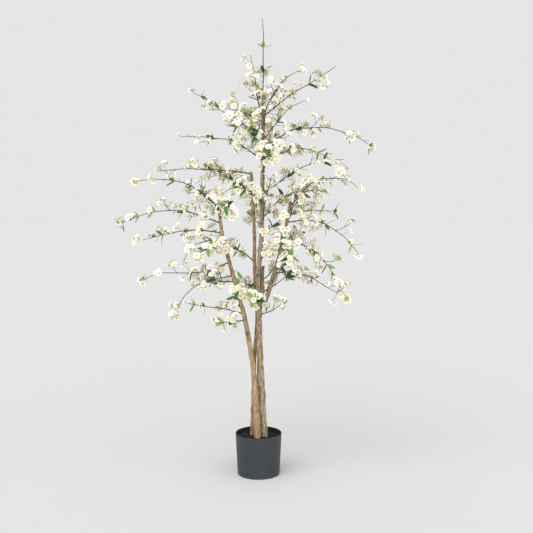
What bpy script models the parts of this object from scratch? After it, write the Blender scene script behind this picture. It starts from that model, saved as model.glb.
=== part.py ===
"""Artificial cherry tree in flower, standing in a round plastic pot.

Three wooden poles rise from the filling of the pot. The tallest one forks into a bough on
the right. Wired stems, each with its side twigs, leaves and blossoms, stand in the poles.
Units are metres, +Z is up, and the origin is the centre of the pot's flat underside.
"""

import math
import random
from collections import namedtuple

import bmesh
import bpy
import numpy as np
from mathutils import Matrix, Vector

# Driving dimensions of the pot and its filling
POT_HEIGHT = 0.200
POT_RIM_RADIUS = 0.110
POT_FOOT_RADIUS = 0.1005
POT_WALL = 0.0036
POT_FLOOR = 0.006
POT_EDGE = 0.003
POT_STEPS = 32
FILLING_TOP = 0.180

# Clear gap left between two pieces that touch on the real tree
GAP = 0.0003

# Driving dimensions of the poles
POLE_SIDES = 8
POLE_RING_SPACING = 0.090
POLE_UNDERCUT = 0.030
SIDE_STEP = 0.010

# Driving dimensions of the stems that stand in the poles
STEM_SIDES = 3
NODE_SPACING = 0.078
STEM_ROOT_RADIUS = 0.0040
STEM_TIP_RADIUS = 0.0017
KINK_HEADING = 9.0
KINK_SLOPE = 6.0

# Driving dimensions of the side twigs
TWIG_LENGTH = 0.075
TWIG_RADIUS = 0.0020
TWIG_TAPER = 0.7
TWIG_ANGLE = 48.0
TWIG_LIFT = 0.30

# Driving dimensions of the leaves and blossoms. They are about a third larger than life,
# because each stands for two.
LEAF_LENGTH = 0.052
LEAF_WIDTH = 0.017
LEAF_THICKNESS = 0.0030
LEAF_ANGLE = 59.0
BLOSSOM_SIDES = 5
BLOSSOM_RADIUS = 0.0235
BLOSSOM_DEPTH = 0.0230
BLOSSOM_DISH = -0.35
BLOSSOM_ANGLE = 60.0
BLOSSOM_LIFT = 0.25
ANGLE_SPREAD = 11.0
ROOT_DEPTH = 0.0010
CLEARANCE = 0.0012

# A limb runs through its stations, each an (x, y, z) point, and tapers between two radii
Limb = namedtuple("Limb", "foot_radius head_radius stations colour")

LIMBS = {
    "trunk": Limb(0.0160, 0.0080, [
        (0.027, 0.000, FILLING_TOP), (0.014, 0.003, 0.39), (0.005, 0.000, 0.65),
        (0.003, 0.000, 0.82), (0.000, 0.000, 0.96), (0.013, -0.002, 1.12),
        (0.018, 0.000, 1.34), (0.024, 0.003, 1.60), (0.021, 0.006, 1.735),
    ], (0.36, 0.29, 0.20)),
    "left_pole": Limb(0.0136, 0.0074, [
        (-0.004, -0.022, FILLING_TOP), (-0.022, -0.024, 0.49), (-0.045, -0.024, 0.654),
        (-0.068, -0.024, 0.775), (-0.111, -0.028, 0.935), (-0.145, -0.034, 1.065),
        (-0.165, -0.038, 1.14), (-0.183, -0.045, 1.30),
    ], (0.43, 0.28, 0.14)),
    "middle_pole": Limb(0.0103, 0.0070, [
        (-0.031, 0.030, FILLING_TOP), (-0.019, 0.034, 0.56), (-0.007, 0.037, 0.744),
        (-0.018, 0.037, 0.954), (-0.019, 0.040, 1.144), (-0.034, 0.048, 1.438),
    ], (0.17, 0.11, 0.06)),
    "right_bough": Limb(0.0106, 0.0074, [
        (0.006, 0.000, 0.805), (0.036, 0.000, 0.846), (0.056, 0.003, 0.907),
        (0.081, 0.008, 0.988), (0.117, 0.014, 1.124), (0.142, 0.024, 1.255),
        (0.151, 0.028, 1.301),
    ], (0.36, 0.25, 0.15)),
    "short_stub": Limb(0.0080, 0.0070, [
        (0.0200, -0.0095, 0.890), (0.0190, -0.0080, 0.950), (0.0215, -0.0085, 1.003),
    ], (0.20, 0.12, 0.07)),
}

# A sprig is one stem with all that grows on it. It leaves its limb at a height in metres and
# to a compass heading in degrees, where 0 is right and 90 is back. Its slope in degrees runs
# through three values, at the root, half way and at the tip.
Sprig = namedtuple("Sprig", "limb height heading slopes length")

SPRIGS = [
    Sprig("trunk", 1.735, 180, (96, 90, 84), 0.375),
    Sprig("trunk", 1.712, 165, (80, 85, 76), 0.265),
    Sprig("trunk", 1.623, 168, (15, 32, 22), 0.375),
    Sprig("trunk", 1.672, 197, (28, 18, 10), 0.190),
    Sprig("trunk", 1.499, 185, (50, 12, 2), 0.395),
    Sprig("trunk", 1.568, 215, (58, 35, 5), 0.180),
    Sprig("middle_pole", 1.431, 172, (8, 2, -6), 0.430),
    Sprig("left_pole", 1.290, 188, (58, 14, -6), 0.405),
    Sprig("left_pole", 1.211, 176, (24, 0, -28), 0.475),
    Sprig("left_pole", 1.164, 195, (14, -4, -16), 0.380),
    Sprig("left_pole", 1.130, 158, (0, -25, -80), 0.250),
    Sprig("left_pole", 1.023, 183, (-34, 0, -30), 0.405),
    Sprig("left_pole", 0.935, 168, (0, 4, 6), 0.210),
    Sprig("left_pole", 0.962, 204, (0, -29, -86), 0.350),
    Sprig("left_pole", 0.785, 176, (12, 8, 4), 0.260),
    Sprig("left_pole", 0.750, 212, (8, 0, -5), 0.130),
    Sprig("trunk", 1.700, 12, (47, 33, 36), 0.400),
    Sprig("trunk", 1.722, -22, (66, 50, 14), 0.260),
    Sprig("trunk", 1.600, -28, (50, 45, 17), 0.260),
    Sprig("trunk", 1.556, 5, (46, -4, -36), 0.535),
    Sprig("trunk", 1.484, -10, (42, 6, -38), 0.320),
    Sprig("trunk", 1.347, 16, (34, 22, -6), 0.420),
    Sprig("right_bough", 1.235, -32, (76, 70, 28), 0.215),
    Sprig("right_bough", 1.294, 4, (66, 12, -44), 0.375),
    Sprig("right_bough", 1.246, 14, (28, 0, 6), 0.225),
    Sprig("right_bough", 1.208, -12, (16, -24, -54), 0.385),
    Sprig("right_bough", 1.115, 8, (8, -48, -64), 0.430),
    Sprig("right_bough", 0.972, -8, (18, -24, -26), 0.325),
    Sprig("trunk", 0.874, 30, (14, 25, -30), 0.230),
    Sprig("trunk", 0.774, -30, (15, 30, 36), 0.140),
    Sprig("trunk", 0.835, 262, (15, 10, 0), 0.200),
    Sprig("trunk", 1.040, 308, (36, 20, -8), 0.290),
    Sprig("trunk", 1.150, 318, (40, 32, 10), 0.240),
    Sprig("trunk", 1.225, 294, (74, 62, 40), 0.230),
    Sprig("trunk", 1.300, 244, (35, 12, -16), 0.370),
    Sprig("trunk", 1.440, 276, (42, 12, -22), 0.430),
    Sprig("trunk", 1.540, 248, (46, 22, -5), 0.310),
    Sprig("trunk", 1.660, 288, (60, 38, 10), 0.260),
    Sprig("left_pole", 0.870, 268, (22, 2, -18), 0.270),
    Sprig("left_pole", 1.075, 250, (26, 4, -20), 0.320),
    Sprig("left_pole", 1.235, 282, (34, 5, -24), 0.370),
    Sprig("right_bough", 1.060, 282, (26, -4, -32), 0.350),
    Sprig("trunk", 0.925, 62, (20, 14, -4), 0.300),
    Sprig("trunk", 1.230, 58, (34, 16, -12), 0.400),
    Sprig("trunk", 1.500, 82, (42, 14, -16), 0.430),
    Sprig("trunk", 1.610, 118, (44, 22, -4), 0.310),
    Sprig("middle_pole", 0.860, 108, (20, 8, -10), 0.300),
    Sprig("middle_pole", 1.020, 132, (26, 6, -16), 0.370),
    Sprig("middle_pole", 1.170, 92, (30, 8, -18), 0.420),
    Sprig("middle_pole", 1.330, 122, (36, 10, -18), 0.430),
    Sprig("left_pole", 1.262, 118, (38, 10, -14), 0.350),
    Sprig("right_bough", 1.090, 74, (26, 2, -22), 0.350),
    Sprig("right_bough", 1.262, 62, (44, 10, -20), 0.370),
]

# Colours and roughness of the materials
SPRIG_COLOUR = (0.86, 0.84, 0.78)
POT_COLOUR = (0.055, 0.062, 0.070)
FILLING_COLOUR = (0.045, 0.032, 0.020)
WOOD_ROUGHNESS = 0.75
SPRIG_ROUGHNESS = 0.70
POT_ROUGHNESS = 0.55
FILLING_ROUGHNESS = 0.90

MERGE_DISTANCE = 0.00001


def clear_scene():
    """Remove every object that is in the file."""
    for thing in list(bpy.data.objects):
        bpy.data.objects.remove(thing, do_unlink=True)


def new_collection(name):
    """Make a collection of that name in the scene."""
    collection = bpy.data.collections.new(name)
    bpy.context.scene.collection.children.link(collection)
    return collection


def new_material(name, colour, roughness):
    """Make a plain Principled material."""
    material = bpy.data.materials.new(name)
    material.use_nodes = True
    shader = material.node_tree.nodes["Principled BSDF"]
    shader.inputs["Base Color"].default_value = (*colour, 1.0)
    shader.inputs["Roughness"].default_value = roughness
    shader.inputs["Metallic"].default_value = 0.0
    return material


def make_guide(thing):
    """Mark an object as a guide, which isn't part of the tree."""
    thing.hide_render = True
    thing.display_type = "WIRE"


def turned_solid(name, profile, material, collection):
    """Turn a profile of (radius, height) points about the Z axis.

    The profile starts and ends on the axis and runs down its outer side.
    """
    mesh = bpy.data.meshes.new(name)
    points = [(radius, 0.0, height) for radius, height in profile]
    edges = [(i, i + 1) for i in range(len(points) - 1)]
    mesh.from_pydata(points, edges, [])
    mesh.materials.append(material)
    solid = bpy.data.objects.new(name, mesh)
    collection.objects.link(solid)
    screw = solid.modifiers.new("turn", "SCREW")
    screw.steps = POT_STEPS
    screw.render_steps = POT_STEPS
    screw.use_merge_vertices = True
    screw.merge_threshold = MERGE_DISTANCE
    screw.use_smooth_shade = False


def make_pot(collection):
    """The thin wall, flat floor and rounded edges of the pot."""
    inner_rim = POT_RIM_RADIUS - POT_WALL
    inner_foot = POT_FOOT_RADIUS - POT_WALL
    shoulder = POT_HEIGHT - POT_EDGE / 3
    profile = [
        (0.0, POT_FLOOR),
        (inner_foot, POT_FLOOR),
        (inner_rim, shoulder),
        (inner_rim + POT_WALL / 2, POT_HEIGHT),
        (POT_RIM_RADIUS, shoulder),
        (POT_FOOT_RADIUS, POT_EDGE),
        (POT_FOOT_RADIUS - POT_EDGE, 0.0),
        (0.0, 0.0),
    ]
    plastic = new_material("pot_plastic", POT_COLOUR, POT_ROUGHNESS)
    turned_solid("pot", profile, plastic, collection)


def make_filling(collection):
    """The weight that fills the pot to a little below its rim."""
    slope = (POT_RIM_RADIUS - POT_FOOT_RADIUS) / POT_HEIGHT
    foot_radius = POT_FOOT_RADIUS - POT_WALL - GAP
    foot = POT_FLOOR + GAP
    profile = [
        (0.0, FILLING_TOP),
        (foot_radius + slope * (FILLING_TOP - POT_FLOOR), FILLING_TOP),
        (foot_radius, foot),
        (0.0, foot),
    ]
    material = new_material("filling", FILLING_COLOUR, FILLING_ROUGHNESS)
    turned_solid("filling", profile, material, collection)


def limb_point(limb, height):
    """Centre and radius of a limb at a height, on a smooth curve through its stations.

    Between two stations the curve is a cubic in the height, whose slope at each one is that
    of the line between its two neighbours.
    """
    stations = [Vector(point) for point in limb.stations]
    last = len(stations) - 2
    i = max(k for k in range(last + 1) if k == 0 or stations[k].z <= height)
    start, end = stations[i], stations[i + 1]
    before = stations[i - 1] if i > 0 else start * 2 - end
    after = stations[i + 2] if i < last else end * 2 - start
    rise = end.z - start.z
    t = (height - start.z) / rise
    out_slope = (end - before) / (end.z - before.z)
    in_slope = (after - start) / (after.z - start.z)
    centre = (start * (2 * t**3 - 3 * t**2 + 1) + end * (3 * t**2 - 2 * t**3)
              + out_slope * rise * (t**3 - 2 * t**2 + t) + in_slope * rise * (t**3 - t**2))
    share = (height - stations[0].z) / (stations[-1].z - stations[0].z)
    return centre, limb.foot_radius + (limb.head_radius - limb.foot_radius) * share


def limb_places(limb):
    """Centres and radii at even heights from a limb's foot to its top."""
    foot = limb.stations[0][2]
    top = limb.stations[-1][2]
    count = max(3, round((top - foot) / POLE_RING_SPACING))
    places = [limb_point(limb, foot + (top - foot) * i / count) for i in range(count + 1)]
    return [centre for centre, radius in places], [radius for centre, radius in places]


def section_guide(name, sides, collection):
    """A closed outline of that many straight sides and radius 1, which curves carry along."""
    data = bpy.data.curves.new(name, "CURVE")
    data.dimensions = "2D"
    spline = data.splines.new("POLY")
    spline.points.add(sides - 1)
    for i, spot in enumerate(spline.points):
        angle = 2 * math.pi * i / sides
        spot.co = (math.cos(angle), math.sin(angle), 0.0, 1.0)
    spline.use_cyclic_u = True
    section = bpy.data.objects.new(name, data)
    make_guide(section)
    collection.objects.link(section)
    return section


def tapered_solid(name, points, radii, section, collection):
    """A closed mesh made from a curve that carries a section along its points."""
    data = bpy.data.curves.new(name, "CURVE")
    data.dimensions = "3D"
    data.use_fill_caps = True
    data.bevel_mode = "OBJECT"
    data.bevel_object = section
    spline = data.splines.new("POLY")
    spline.points.add(len(points) - 1)
    for spot, point, radius in zip(spline.points, points, radii):
        spot.co = (*point, 1.0)
        spot.radius = radius
    route = bpy.data.objects.new("route", data)
    bpy.context.scene.collection.objects.link(route)
    depsgraph = bpy.context.evaluated_depsgraph_get()
    mesh = bpy.data.meshes.new_from_object(route.evaluated_get(depsgraph))
    bpy.data.objects.remove(route)
    bm = bmesh.new()
    bm.from_mesh(mesh)
    bmesh.ops.remove_doubles(bm, verts=bm.verts, dist=MERGE_DISTANCE)
    bmesh.ops.recalc_face_normals(bm, faces=bm.faces)
    bm.to_mesh(mesh)
    bm.free()
    mesh.name = name
    solid = bpy.data.objects.new(name, mesh)
    collection.objects.link(solid)
    return solid


def cut_level(solid, height):
    """Cut off what is below a height and close the solid there with a flat face."""
    bm = bmesh.new()
    bm.from_mesh(solid.data)
    everything = bm.verts[:] + bm.edges[:] + bm.faces[:]
    cut = bmesh.ops.bisect_plane(bm, geom=everything, dist=MERGE_DISTANCE, clear_inner=True,
                                 plane_co=(0, 0, height), plane_no=(0, 0, 1))
    rim = [edge for edge in cut["geom_cut"] if isinstance(edge, bmesh.types.BMEdge)]
    bmesh.ops.holes_fill(bm, edges=rim)
    bmesh.ops.recalc_face_normals(bm, faces=bm.faces)
    bm.to_mesh(solid.data)
    bm.free()


def stands_in_pot(limb):
    """True for a pole that stands on the filling."""
    return limb.stations[0][2] == FILLING_TOP


def limb_solid(name, limb, extra_radius, section, collection):
    """A limb's tapering solid, wider by an extra radius, and cut level on the filling."""
    points, radii = limb_places(limb)
    if stands_in_pot(limb):
        points = [points[0] - Vector((0, 0, POLE_UNDERCUT))] + points
        radii = [radii[0]] + radii
    radii = [radius + extra_radius for radius in radii]
    solid = tapered_solid(name, points, radii, section, collection)
    if stands_in_pot(limb):
        cut_level(solid, FILLING_TOP + GAP)
    return solid


def make_limbs(section, collection, guides):
    """The poles, the stub, and the bough, whose foot is seated in the trunk's side."""
    for name, limb in LIMBS.items():
        solid = limb_solid(name, limb, 0.0, section, collection)
        solid.data.materials.append(new_material(name, limb.colour, WOOD_ROUGHNESS))
    seat = limb_solid("trunk_seat", LIMBS["trunk"], GAP, section, guides)
    make_guide(seat)
    cut = bpy.data.objects["right_bough"].modifiers.new("seat", "BOOLEAN")
    cut.operation = "DIFFERENCE"
    cut.object = seat


def direction(heading, slope):
    """Unit vector to a compass heading and a slope, both in degrees."""
    h = math.radians(heading)
    s = math.radians(slope)
    return Vector((math.cos(h) * math.cos(s), math.sin(h) * math.cos(s), math.sin(s)))


def slope_at(slopes, share):
    """Slope at a share of a stem's length, on the parabola through its three values."""
    root, middle, tip = slopes
    return (root * (1 - share) * (1 - 2 * share) + middle * 4 * share * (1 - share)
            + tip * share * (2 * share - 1))


def stem_root(sprig):
    """Where a sprig's stem starts, just clear of its limb's top or side."""
    limb = LIMBS[sprig.limb]
    centre, limb_radius = limb_point(limb, sprig.height)
    if sprig.height == limb.stations[-1][2]:
        return centre + Vector((0, 0, 2 * GAP))
    above, unused = limb_point(limb, sprig.height + SIDE_STEP)
    along = (above - centre).normalized()
    outward = direction(sprig.heading, 0)
    outward = (outward - along * outward.dot(along)).normalized()
    first = direction(sprig.heading, sprig.slopes[0])
    aslant = math.sqrt(max(0.0, 1 - first.dot(outward) ** 2))
    return centre + outward * (limb_radius + GAP + STEM_ROOT_RADIUS * aslant)


def stem_path(sprig, chance):
    """Nodes and radii of a sprig's stem, kinked to one side and the other at each node."""
    count = max(2, round(sprig.length / NODE_SPACING))
    step = sprig.length / count
    points = [stem_root(sprig)]
    for i in range(count):
        side = 1 if i % 2 else -1
        heading = sprig.heading + side * KINK_HEADING * chance.uniform(0.4, 1.0)
        slope = slope_at(sprig.slopes, (i + 0.5) / count)
        slope += side * KINK_SLOPE * chance.uniform(-0.3, 1.0)
        points.append(points[-1] + direction(heading, slope) * step)
    drop = STEM_ROOT_RADIUS - STEM_TIP_RADIUS
    radii = [STEM_ROOT_RADIUS - drop * i / count for i in range(count + 1)]
    return points, radii


class Space:
    """What every piece takes up, kept as round-ended sticks, so that no two nodes touch."""

    def __init__(self):
        self.starts = []
        self.ends = []
        self.radii = []
        self.owners = []

    def take(self, owner, start, end, radius):
        """Take up a stick's room for its owner."""
        self.starts.append(tuple(start))
        self.ends.append(tuple(end))
        self.radii.append(radius)
        self.owners.append(owner)

    def is_free(self, owner, start, end, radius):
        """True where a stick stays clear of all that belongs to others.

        The gap to each kept stick is that between the nearest points of the two lines, with
        each point held within its line's ends.
        """
        kept = np.array(self.starts)
        u = np.array(self.ends) - kept
        v = np.array(end) - np.array(start)
        w = kept - np.array(start)
        tiny = 1e-12
        uu = (u * u).sum(1) + tiny
        vv = v @ v + tiny
        uv = u @ v
        uw = (u * w).sum(1)
        vw = w @ v
        along_kept = np.clip((uv * vw - vv * uw) / np.maximum(uu * vv - uv * uv, tiny), 0, 1)
        along_new = np.clip((uv * along_kept + vw) / vv, 0, 1)
        along_kept = np.clip((uv * along_new - uw) / uu, 0, 1)
        gaps = np.linalg.norm(w + u * along_kept[:, None] - np.outer(along_new, v), axis=1)
        others = np.array([kept_owner != owner for kept_owner in self.owners])
        return not np.any(others & (gaps < np.array(self.radii) + radius + CLEARANCE))

    def claim(self, owner, start, end, radius):
        """Take up a stick's room if it is free, and tell whether it was."""
        free = self.is_free(owner, start, end, radius)
        if free:
            self.take(owner, start, end, radius)
        return free


def around(axis, turn, lean):
    """Unit vector that leans off an axis, turned about it, with both angles in degrees."""
    side = axis.orthogonal().normalized()
    other = axis.cross(side)
    t = math.radians(turn)
    b = math.radians(lean)
    spoke = side * math.cos(t) + other * math.sin(t)
    return (axis * math.cos(b) + spoke * math.sin(b)).normalized()


def rooted(node, facing, chance):
    """Matrix that sinks a piece's root in a node, with its Z axis along the way it faces."""
    turn = facing.to_track_quat("Z", "Y").to_matrix().to_4x4()
    roll = Matrix.Rotation(chance.uniform(0, 2 * math.pi), 4, "Z")
    return Matrix.Translation(node - facing * ROOT_DEPTH) @ turn @ roll


def keep_piece(bm, matrix, pieces):
    """Move a shape to its place and keep it as an object among a sprig's pieces."""
    bmesh.ops.transform(bm, matrix=matrix, verts=bm.verts)
    bmesh.ops.recalc_face_normals(bm, faces=bm.faces)
    mesh = bpy.data.meshes.new("piece")
    bm.to_mesh(mesh)
    bm.free()
    pieces.objects.link(bpy.data.objects.new("piece", mesh))


def add_leaf(owner, node, axis, space, chance, pieces):
    """A lance-shaped leaf of eight faces, left out where it would touch another node."""
    lean = LEAF_ANGLE + chance.uniform(-ANGLE_SPREAD, ANGLE_SPREAD)
    facing = around(axis, chance.uniform(0, 360), lean)
    place = rooted(node, facing, chance)
    neck = node + facing * LEAF_WIDTH
    tip = node + facing * LEAF_LENGTH
    if not space.claim(owner, neck, tip, LEAF_WIDTH / 2):
        return
    bm = bmesh.new()
    bmesh.ops.create_uvsphere(bm, u_segments=4, v_segments=2, radius=1.0)
    size = Matrix.Diagonal((LEAF_WIDTH / 2, LEAF_THICKNESS / 2, LEAF_LENGTH / 2, 1.0))
    lift = Matrix.Translation((0, 0, LEAF_LENGTH / 2))
    keep_piece(bm, place @ lift @ size, pieces)


def add_blossom(owner, node, axis, space, chance, pieces):
    """A five-sided cup on a point, left out where it would touch another node."""
    lean = BLOSSOM_ANGLE + chance.uniform(-ANGLE_SPREAD, ANGLE_SPREAD)
    facing = around(axis, chance.uniform(0, 360), lean)
    facing = (facing + Vector((0, 0, BLOSSOM_LIFT))).normalized()
    place = rooted(node, facing, chance)
    heart = node + facing * BLOSSOM_DEPTH * (1 + BLOSSOM_DISH)
    if not space.claim(owner, heart, heart, BLOSSOM_RADIUS):
        return
    bm = bmesh.new()
    bmesh.ops.create_uvsphere(bm, u_segments=BLOSSOM_SIDES, v_segments=2, radius=1.0)
    face_centre = max(bm.verts, key=lambda vert: vert.co.z)
    face_centre.co.z = BLOSSOM_DISH
    size = Matrix.Diagonal((BLOSSOM_RADIUS, BLOSSOM_RADIUS, BLOSSOM_DEPTH, 1.0))
    lift = Matrix.Translation((0, 0, BLOSSOM_DEPTH))
    keep_piece(bm, place @ lift @ size, pieces)


def add_twig(owner, node, axis, section, space, chance, pieces):
    """A side twig with one bend, a leaf on the bend and a blossom at its end."""
    lean = TWIG_ANGLE + chance.uniform(-ANGLE_SPREAD, ANGLE_SPREAD)
    first = around(axis, chance.uniform(0, 360), lean)
    second = (first + Vector((0, 0, TWIG_LIFT))).normalized()
    half = TWIG_LENGTH * chance.uniform(0.7, 1.2) / 2
    bend = node + first * half
    end = bend + second * half
    if not (space.is_free(owner, node.lerp(bend, 0.4), bend, TWIG_RADIUS)
            and space.claim(owner, bend, end, TWIG_RADIUS)):
        return
    space.take(owner, node, bend, TWIG_RADIUS)
    radii = [TWIG_RADIUS, TWIG_RADIUS * (1 + TWIG_TAPER) / 2, TWIG_RADIUS * TWIG_TAPER]
    tapered_solid("twig", [node, bend, end], radii, section, pieces)
    add_leaf(owner, bend, second, space, chance, pieces)
    add_blossom(owner, end, second, space, chance, pieces)


def fuse(stem, pieces):
    """Join a stem and all that grows on it into one solid."""
    union = stem.modifiers.new("fuse", "BOOLEAN")
    union.operation = "UNION"
    union.operand_type = "COLLECTION"
    union.collection = pieces
    depsgraph = bpy.context.evaluated_depsgraph_get()
    mesh = bpy.data.meshes.new_from_object(stem.evaluated_get(depsgraph))
    stem.modifiers.remove(union)
    stem.data = mesh
    for piece in list(pieces.objects):
        bpy.data.objects.remove(piece)
    bpy.data.collections.remove(pieces)


def make_sprigs(section, collection):
    """Every sprig: all the stems first, and then what grows on each of them.

    The end node and every second node carry a leaf and a blossom, and the others a twig.
    """
    space = Space()
    for name, limb in LIMBS.items():
        points, radii = limb_places(limb)
        for start, end, radius in zip(points, points[1:], radii):
            space.take(name, start, end, radius)
    stems = []
    for number, sprig in enumerate(SPRIGS, 1):
        chance = random.Random(number)
        points, radii = stem_path(sprig, chance)
        for start, end, radius in zip(points, points[1:], radii):
            space.take(number, start, end, radius)
        stems.append((number, sprig.limb, chance, points, radii))
    material = new_material("sprig", SPRIG_COLOUR, SPRIG_ROUGHNESS)
    for number, limb_name, chance, points, radii in stems:
        name = f"{limb_name}_sprig_{number:02d}"
        stem = tapered_solid(name, points, radii, section, collection)
        pieces = bpy.data.collections.new("pieces")
        for i in range(1, len(points)):
            axis = (points[i] - points[i - 1]).normalized()
            if i % 2 and i < len(points) - 1:
                add_twig(number, points[i], axis, section, space, chance, pieces)
            else:
                add_blossom(number, points[i], axis, space, chance, pieces)
                add_leaf(number, points[i], axis, space, chance, pieces)
        fuse(stem, pieces)
        stem.data.materials.clear()
        stem.data.materials.append(material)


def main():
    """Build the whole tree."""
    clear_scene()
    tree = new_collection("potted_cherry_tree")
    guides = new_collection("guides")
    make_pot(tree)
    make_filling(tree)
    make_limbs(section_guide("pole_section", POLE_SIDES, guides), tree, guides)
    make_sprigs(section_guide("stem_section", STEM_SIDES, guides), tree)


main()
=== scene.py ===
"""Artificial cherry tree in flower, in a dark plastic pot: the finish of every piece."""

import math
import random
from collections import namedtuple

import bpy
import numpy as np
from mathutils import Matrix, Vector


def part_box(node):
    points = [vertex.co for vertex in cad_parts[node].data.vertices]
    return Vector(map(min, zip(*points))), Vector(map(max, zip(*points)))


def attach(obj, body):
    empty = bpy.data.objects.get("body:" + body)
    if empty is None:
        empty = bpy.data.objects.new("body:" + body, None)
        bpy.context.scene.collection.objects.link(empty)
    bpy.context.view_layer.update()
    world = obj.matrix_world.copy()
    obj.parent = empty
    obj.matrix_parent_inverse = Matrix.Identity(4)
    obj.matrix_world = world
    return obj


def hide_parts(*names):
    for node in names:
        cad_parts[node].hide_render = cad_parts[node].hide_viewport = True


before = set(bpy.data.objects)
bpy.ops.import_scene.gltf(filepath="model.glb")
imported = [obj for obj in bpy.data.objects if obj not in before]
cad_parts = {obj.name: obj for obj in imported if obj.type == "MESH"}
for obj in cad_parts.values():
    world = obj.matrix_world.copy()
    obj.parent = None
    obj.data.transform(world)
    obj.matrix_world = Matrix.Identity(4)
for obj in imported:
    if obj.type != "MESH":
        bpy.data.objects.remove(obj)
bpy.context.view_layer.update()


# The pot
# A thin-walled round pot, moulded in charcoal plastic with a fine matt grain. Its rim is
# rounded over, a shallow rib runs round its foot, and its inside wall is painted nearly black
# as painted shade, since little light gets inside it.

POT_WALL = 0.0036
POT_FLOOR = 0.006
POT_FOOT_EDGE = 0.003
POT_RIB_HEIGHT = 0.011
POT_RIB_DEPTH = 0.0008
POT_RIB_STAND = 0.0004
POT_RIB_EDGES = (0.0016, 0.0022)
POT_SIDE_START = 0.016
POT_TAPER = 0.0095
POT_SIDES = 160
HUB = 0.0005


class Socket:
    """One output socket of a material's nodes. Arithmetic on it adds Math nodes."""

    def __init__(self, tree, port=None):
        self.tree = tree
        self.port = port

    def add(self, kind, settings, values, output=0):
        """Add a node: its type, its settings, what feeds its sockets, and the output wanted."""
        node = self.tree.nodes.new("ShaderNode" + kind)
        for name, value in settings.items():
            setattr(node, name, value)
        for name, value in values.items():
            if isinstance(value, Socket):
                self.tree.links.new(value.port, node.inputs[name])
            elif isinstance(value, tuple) and len(node.inputs[name].default_value) == 4:
                node.inputs[name].default_value = (*value, 1.0)
            else:
                node.inputs[name].default_value = value
        return Socket(self.tree, node.outputs[output])

    def math(self, operation, left, right):
        """A Math node on two values."""
        return self.add("Math", {"operation": operation}, {0: left, 1: right})

    def __add__(self, other):
        return self.math("ADD", self, other)

    def __radd__(self, other):
        return self.math("ADD", other, self)

    def __sub__(self, other):
        return self.math("SUBTRACT", self, other)

    def __rsub__(self, other):
        return self.math("SUBTRACT", other, self)

    def __mul__(self, other):
        return self.math("MULTIPLY", self, other)

    def __rmul__(self, other):
        return self.math("MULTIPLY", other, self)

    def within(self, low, high):
        """0 below the low value, 1 above the high one, and even between them."""
        return self.add("MapRange", {"clamp": True}, {0: self, 1: low, 2: high})

    def blend(self, first, second):
        """A colour that goes from the first to the second as this value goes from 0 to 1."""
        return self.add("Mix", {"data_type": "RGBA"}, {0: self, 6: first, 7: second}, 2)

    def place(self):
        """The place in the object's own coordinates, which are those of the whole tree."""
        return self.add("TexCoord", {}, {}, 3)

    def noise(self, size, detail=2.0, stretch=(1.0, 1.0, 1.0)):
        """Noise with features of about that size in metres, stretched along each axis."""
        scale = tuple(1 / (size * s) for s in stretch)
        place = self.add("Mapping", {}, {0: self.place(), 3: scale})
        return self.add("TexNoise", {}, {"Vector": place, "Scale": 1.0, "Detail": detail})


def new_material(name, roughness):
    """A Principled material, its shader, and a socket to work on its nodes from."""
    material = bpy.data.materials.new(name)
    material.use_nodes = True
    shader = material.node_tree.nodes["Principled BSDF"]
    shader.inputs["Roughness"].default_value = roughness
    return material, shader, Socket(material.node_tree)


def feed(shader, name, source):
    """Link a socket to the shader."""
    source.tree.links.new(source.port, shader.inputs[name])


def bump(shader, height, distance):
    """Let a height in units of a distance in metres tilt the shader's normal."""
    feed(shader, "Normal", height.add("Bump", {}, {"Distance": distance, "Height": height}))


def sheet(points, wrap=False, closed=False):
    """Triangles of a grid of points, in rows and columns.

    Where it wraps, the last column joins the first. Where it is closed, the first and the
    last row each close on their middle. The columns turn anticlockwise about the way that
    the rows run, so that the faces point out.
    """
    rows, columns = points.shape[:2]
    index = np.arange(rows * columns).reshape(rows, columns)
    if wrap:
        index = np.concatenate([index, index[:, :1]], axis=1)
    a, b, c, d = index[:-1, :-1], index[:-1, 1:], index[1:, 1:], index[1:, :-1]
    triangles = [np.stack([a, b, c], -1).reshape(-1, 3), np.stack([a, c, d], -1).reshape(-1, 3)]
    spots = points.reshape(-1, 3)
    if closed:
        spots = np.vstack([spots, points[0].mean(0), points[-1].mean(0)])
        foot, head = index[0], index[-1]
        low = np.full(len(foot) - 1, len(spots) - 2)
        triangles.append(np.stack([low, foot[1:], foot[:-1]], -1))
        triangles.append(np.stack([low + 1, head[:-1], head[1:]], -1))
    return spots, np.concatenate(triangles)


def new_mesh(name, points, triangles, material):
    """A smooth mesh at the origin, in one material."""
    mesh = bpy.data.meshes.new(name)
    mesh.vertices.add(len(points))
    mesh.vertices.foreach_set("co", points.ravel())
    mesh.loops.add(triangles.size)
    mesh.loops.foreach_set("vertex_index", triangles.ravel())
    mesh.polygons.add(len(triangles))
    mesh.polygons.foreach_set("loop_start", np.arange(0, triangles.size, 3))
    mesh.update(calc_edges=True)
    mesh.shade_smooth()
    mesh.materials.append(material)
    thing = bpy.data.objects.new(name, mesh)
    bpy.context.scene.collection.objects.link(thing)
    return thing


def new_piece(name, points, triangles, material, slot):
    """A mesh that rides with the tree. The slot that it is given is not used."""
    piece = new_mesh(name, points, triangles, material)
    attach(piece, "root")
    return piece


def turned(profile, sides):
    """A profile of (radius, height) rows turned about the Z axis in even steps."""
    radius, height = np.array(profile).T
    angle = np.linspace(0, 2 * np.pi, sides, endpoint=False)
    level = np.outer(height, np.ones(sides))
    return np.stack([np.outer(radius, np.cos(angle)), np.outer(radius, np.sin(angle)), level], -1)


def arc(centre, radius, start, end, steps):
    """Points on a circle's arc between two angles in degrees."""
    return [(centre[0] + radius * math.cos(math.radians(a)),
             centre[1] + radius * math.sin(math.radians(a)))
            for a in np.linspace(start, end, steps)]


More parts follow.
